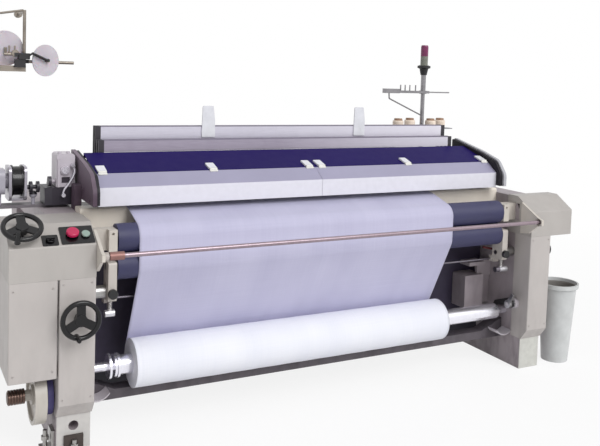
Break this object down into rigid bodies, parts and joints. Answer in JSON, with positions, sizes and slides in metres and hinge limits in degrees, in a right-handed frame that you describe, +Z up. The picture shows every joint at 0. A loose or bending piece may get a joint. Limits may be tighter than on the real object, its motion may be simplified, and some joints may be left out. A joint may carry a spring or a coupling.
{
  "type": "power loom",
  "caption": "Shuttleless power loom with sheet covers, sloped desk, cloth roll, hinged hood, lifting heald frames, warp beam, signal post and a waste bin.",
  "frame": {"origin": "on the floor under the middle of the machine", "axes": "+X to the right across the loom as the weaver sees it, +Y from the weaver to the warp beam, +Z up"},
  "size_m": [3.134, 1.657, 1.811],
  "materials": {
    "cover_paint": "satin warm grey paint",
    "frame_paint": "satin taupe paint over casting",
    "dark_paint": "satin dark grey paint",
    "beige_paint": "gloss cream paint",
    "navy_paint": "gloss navy paint",
    "lid_paint": "satin lavender grey paint",
    "hood_side": "matte grey moulding with black rim",
    "black_plastic": "satin black plastic",
    "white_plastic": "satin white plastic",
    "navy_rubber": "navy rubber sleeve",
    "cloth": "fine plain weave",
    "roll_cloth": "wound white cloth",
    "warp": "wound filament yarn",
    "steel": "ground steel",
    "chrome": "polished steel tube",
    "aluminium": "drawn aluminium",
    "cast": "painted casting",
    "red_plastic": "gloss crimson plastic",
    "green_plastic": "grey green plastic",
    "belt": "blue violet drive belt",
    "disc": "pale translucent plastic",
    "bin": "matte pale grey plastic",
    "bobbin": "cream yarn on a brown cap"
  },
  "bodies": {
    "frame": {"bar_brackets": "beige_paint", "bobbins": "bobbin", "breast_beam": "beige_paint", "cloth": "cloth", "column_covers": "cover_paint", "drive_belts": "belt", "drive_motor": "frame_paint", "feeder_body": "cast", "frame_bolts": "steel", "gear_cases": "frame_paint", "heald_guides": "cast", "hinge_leaves": "white_plastic", "hood_sides": "hood_side", "left_door": "cover_paint", "left_side_frame": "frame_paint", "levelling_jacks": "steel", "lever_pins": "steel", "navy_cover": "navy_paint", "package_discs": "disc", "panel_plates": "black_plastic", "pump_box": "cast", "right_side_frame": "frame_paint", "roll_guards": "beige_paint", "roller_brackets": "beige_paint", "signal_lamp": "red_plastic", "signal_post": "steel", "tie_beams": "dark_paint", "top_covers": "cover_paint", "waste_bin": "bin", "weft_stand": "steel"},
    "sley": {"sley_swords": "cast", "sley_beam": "aluminium", "reed": "steel"},
    "heald_1": {"heald_frame_1": "aluminium"},
    "heald_2": {"heald_frame_2": "aluminium"},
    "heald_3": {"heald_frame_3": "aluminium", "rail_guides": "white_plastic"},
    "heald_4": {"heald_frame_4": "aluminium"},
    "lid_left": {"left_lid": "lid_paint"},
    "lid_right": {"right_lid": "lid_paint"},
    "start_bar": {"operation_bar": "chrome"},
    "take_up": {"take_up_roller": "navy_rubber"},
    "press_arms": {"press_levers": "beige_paint"},
    "press": {"press_roller": "navy_rubber"},
    "roll": {"cloth_roll": "roll_cloth", "roll_core": "chrome"},
    "latch": {"roll_latch": "steel"},
    "column_wheel": {"column_handwheel": "black_plastic"},
    "desk_wheel": {"desk_handwheel": "black_plastic"},
    "knob": {"side_knob": "black_plastic"},
    "stop": {"stop_button": "red_plastic"},
    "start": {"start_button": "green_plastic"},
    "mode": {"mode_switch": "black_plastic"},
    "beam": {"warp_beam": "aluminium", "warp_yarn": "warp"},
    "rest_arms": {"tension_levers": "cast"},
    "rest": {"back_roller": "chrome"},
    "drive": {"drive_shaft": "beige_paint"},
    "motor_wheel": {"motor_pulley": "cast"},
    "drum": {"feeder_drum": "black_plastic"}
  },
  "joints": [
    {"name": "beam_spin", "type": "hinge", "parent": "frame", "child": "beam", "pos_m": [0, 0.471, 0.43], "axis": [1, 0, 0], "continuous": true},
    {"name": "take_up_spin", "type": "hinge", "parent": "frame", "child": "take_up", "pos_m": [0, -0.583, 0.852], "axis": [1, 0, 0], "continuous": true},
    {"name": "press_arm_swing", "type": "hinge", "parent": "frame", "child": "press_arms", "pos_m": [0, -0.585, 0.629], "axis": [1, 0, 0], "range_deg": [-10, 0], "stiffness_Nm_per_rad": 400, "springref_deg": 11.46},
    {"name": "press_spin", "type": "hinge", "parent": "press_arms", "child": "press", "pos_m": [0, -0.585, 0.7334], "axis": [1, 0, 0], "continuous": true},
    {"name": "roll_spin", "type": "hinge", "parent": "frame", "child": "roll", "pos_m": [0, -0.55, 0.291], "axis": [1, 0, 0], "continuous": true},
    {"name": "latch_swing", "type": "hinge", "parent": "frame", "child": "latch", "pos_m": [1.113, -0.645, 0.353], "axis": [1, 0, 0], "range_deg": [0, 70]},
    {"name": "sley_swing", "type": "hinge", "parent": "frame", "child": "sley", "pos_m": [0, -0.265, 0.45], "axis": [1, 0, 0], "range_deg": [0, 9]},
    {"name": "heald_1_lift", "type": "slide", "parent": "frame", "child": "heald_1", "axis": [0, 0, 1], "range_m": [0, 0.06]},
    {"name": "heald_2_lift", "type": "slide", "parent": "frame", "child": "heald_2", "axis": [0, 0, 1], "range_m": [0, 0.06]},
    {"name": "heald_3_lift", "type": "slide", "parent": "frame", "child": "heald_3", "axis": [0, 0, 1], "range_m": [-0.06, 0]},
    {"name": "heald_4_lift", "type": "slide", "parent": "frame", "child": "heald_4", "axis": [0, 0, 1], "range_m": [-0.06, 0]},
    {"name": "left_lid_hinge", "type": "hinge", "parent": "frame", "child": "lid_left", "pos_m": [0, -0.42941, 1.11094], "axis": [1, 0, 0], "range_deg": [-100, 0]},
    {"name": "right_lid_hinge", "type": "hinge", "parent": "frame", "child": "lid_right", "pos_m": [0, -0.42941, 1.11094], "axis": [1, 0, 0], "range_deg": [-100, 0]},
    {"name": "start_bar_turn", "type": "hinge", "parent": "frame", "child": "start_bar", "pos_m": [0, -0.795, 0.826], "axis": [1, 0, 0], "range_deg": [-15, 15]},
    {"name": "column_wheel_spin", "type": "hinge", "parent": "frame", "child": "column_wheel", "pos_m": [-1.224, -0.797, 0.583], "axis": [0, -1, 0], "continuous": true},
    {"name": "desk_wheel_spin", "type": "hinge", "parent": "frame", "child": "desk_wheel", "pos_m": [-1.431, -0.69604, 0.94339], "axis": [0, -0.5199, 0.8542], "continuous": true},
    {"name": "side_knob_spin", "type": "hinge", "parent": "frame", "child": "knob", "pos_m": [1.3, -0.669, 0.646], "axis": [1, 0, 0], "continuous": true},
    {"name": "stop_press", "type": "slide", "parent": "frame", "child": "stop", "axis": [0, 0.5199, -0.8542], "range_m": [0, 0.006], "stiffness_N_per_m": 3000, "springref_m": -0.002},
    {"name": "start_press", "type": "slide", "parent": "frame", "child": "start", "axis": [0, 0.5199, -0.8542], "range_m": [0, 0.003], "stiffness_N_per_m": 3000, "springref_m": -0.001},
    {"name": "mode_turn", "type": "hinge", "parent": "frame", "child": "mode", "pos_m": [-1.328, -0.71116, 0.89322], "axis": [0, -0.5199, 0.8542], "range_deg": [-45, 45]},
    {"name": "rest_arm_swing", "type": "hinge", "parent": "frame", "child": "rest_arms", "pos_m": [0, 0.385, 0.905], "axis": [1, 0, 0], "range_deg": [-5, 0], "stiffness_Nm_per_rad": 5000, "springref_deg": 4.58},
    {"name": "rest_spin", "type": "hinge", "parent": "rest_arms", "child": "rest", "pos_m": [0, 0.505, 0.962], "axis": [1, 0, 0], "continuous": true},
    {"name": "drive_spin", "type": "hinge", "parent": "frame", "child": "drive", "pos_m": [-1.3, -0.585, 0.232], "axis": [1, 0, 0], "continuous": true},
    {"name": "motor_spin", "type": "hinge", "parent": "frame", "child": "motor_wheel", "pos_m": [-1.31, -0.33, 0.535], "axis": [1, 0, 0], "continuous": true},
    {"name": "drum_spin", "type": "hinge", "parent": "frame", "child": "drum", "pos_m": [-1.37, -0.175, 1.05], "axis": [1, 0, 0], "continuous": true}
  ],
  "couplings": [
    {"joint": "take_up_spin", "follows": "beam_spin", "ratio": 3.9167},
    {"joint": "press_spin", "follows": "beam_spin", "ratio": 4.0517},
    {"joint": "roll_spin", "follows": "beam_spin", "ratio": -2.2381},
    {"joint": "rest_spin", "follows": "beam_spin", "ratio": 4.8958},
    {"joint": "heald_2_lift", "follows": "heald_1_lift", "ratio": 1},
    {"joint": "heald_3_lift", "follows": "heald_1_lift", "ratio": -1},
    {"joint": "heald_4_lift", "follows": "heald_1_lift", "ratio": -1},
    {"joint": "motor_spin", "follows": "drive_spin", "ratio": 1.6957}
  ]
}
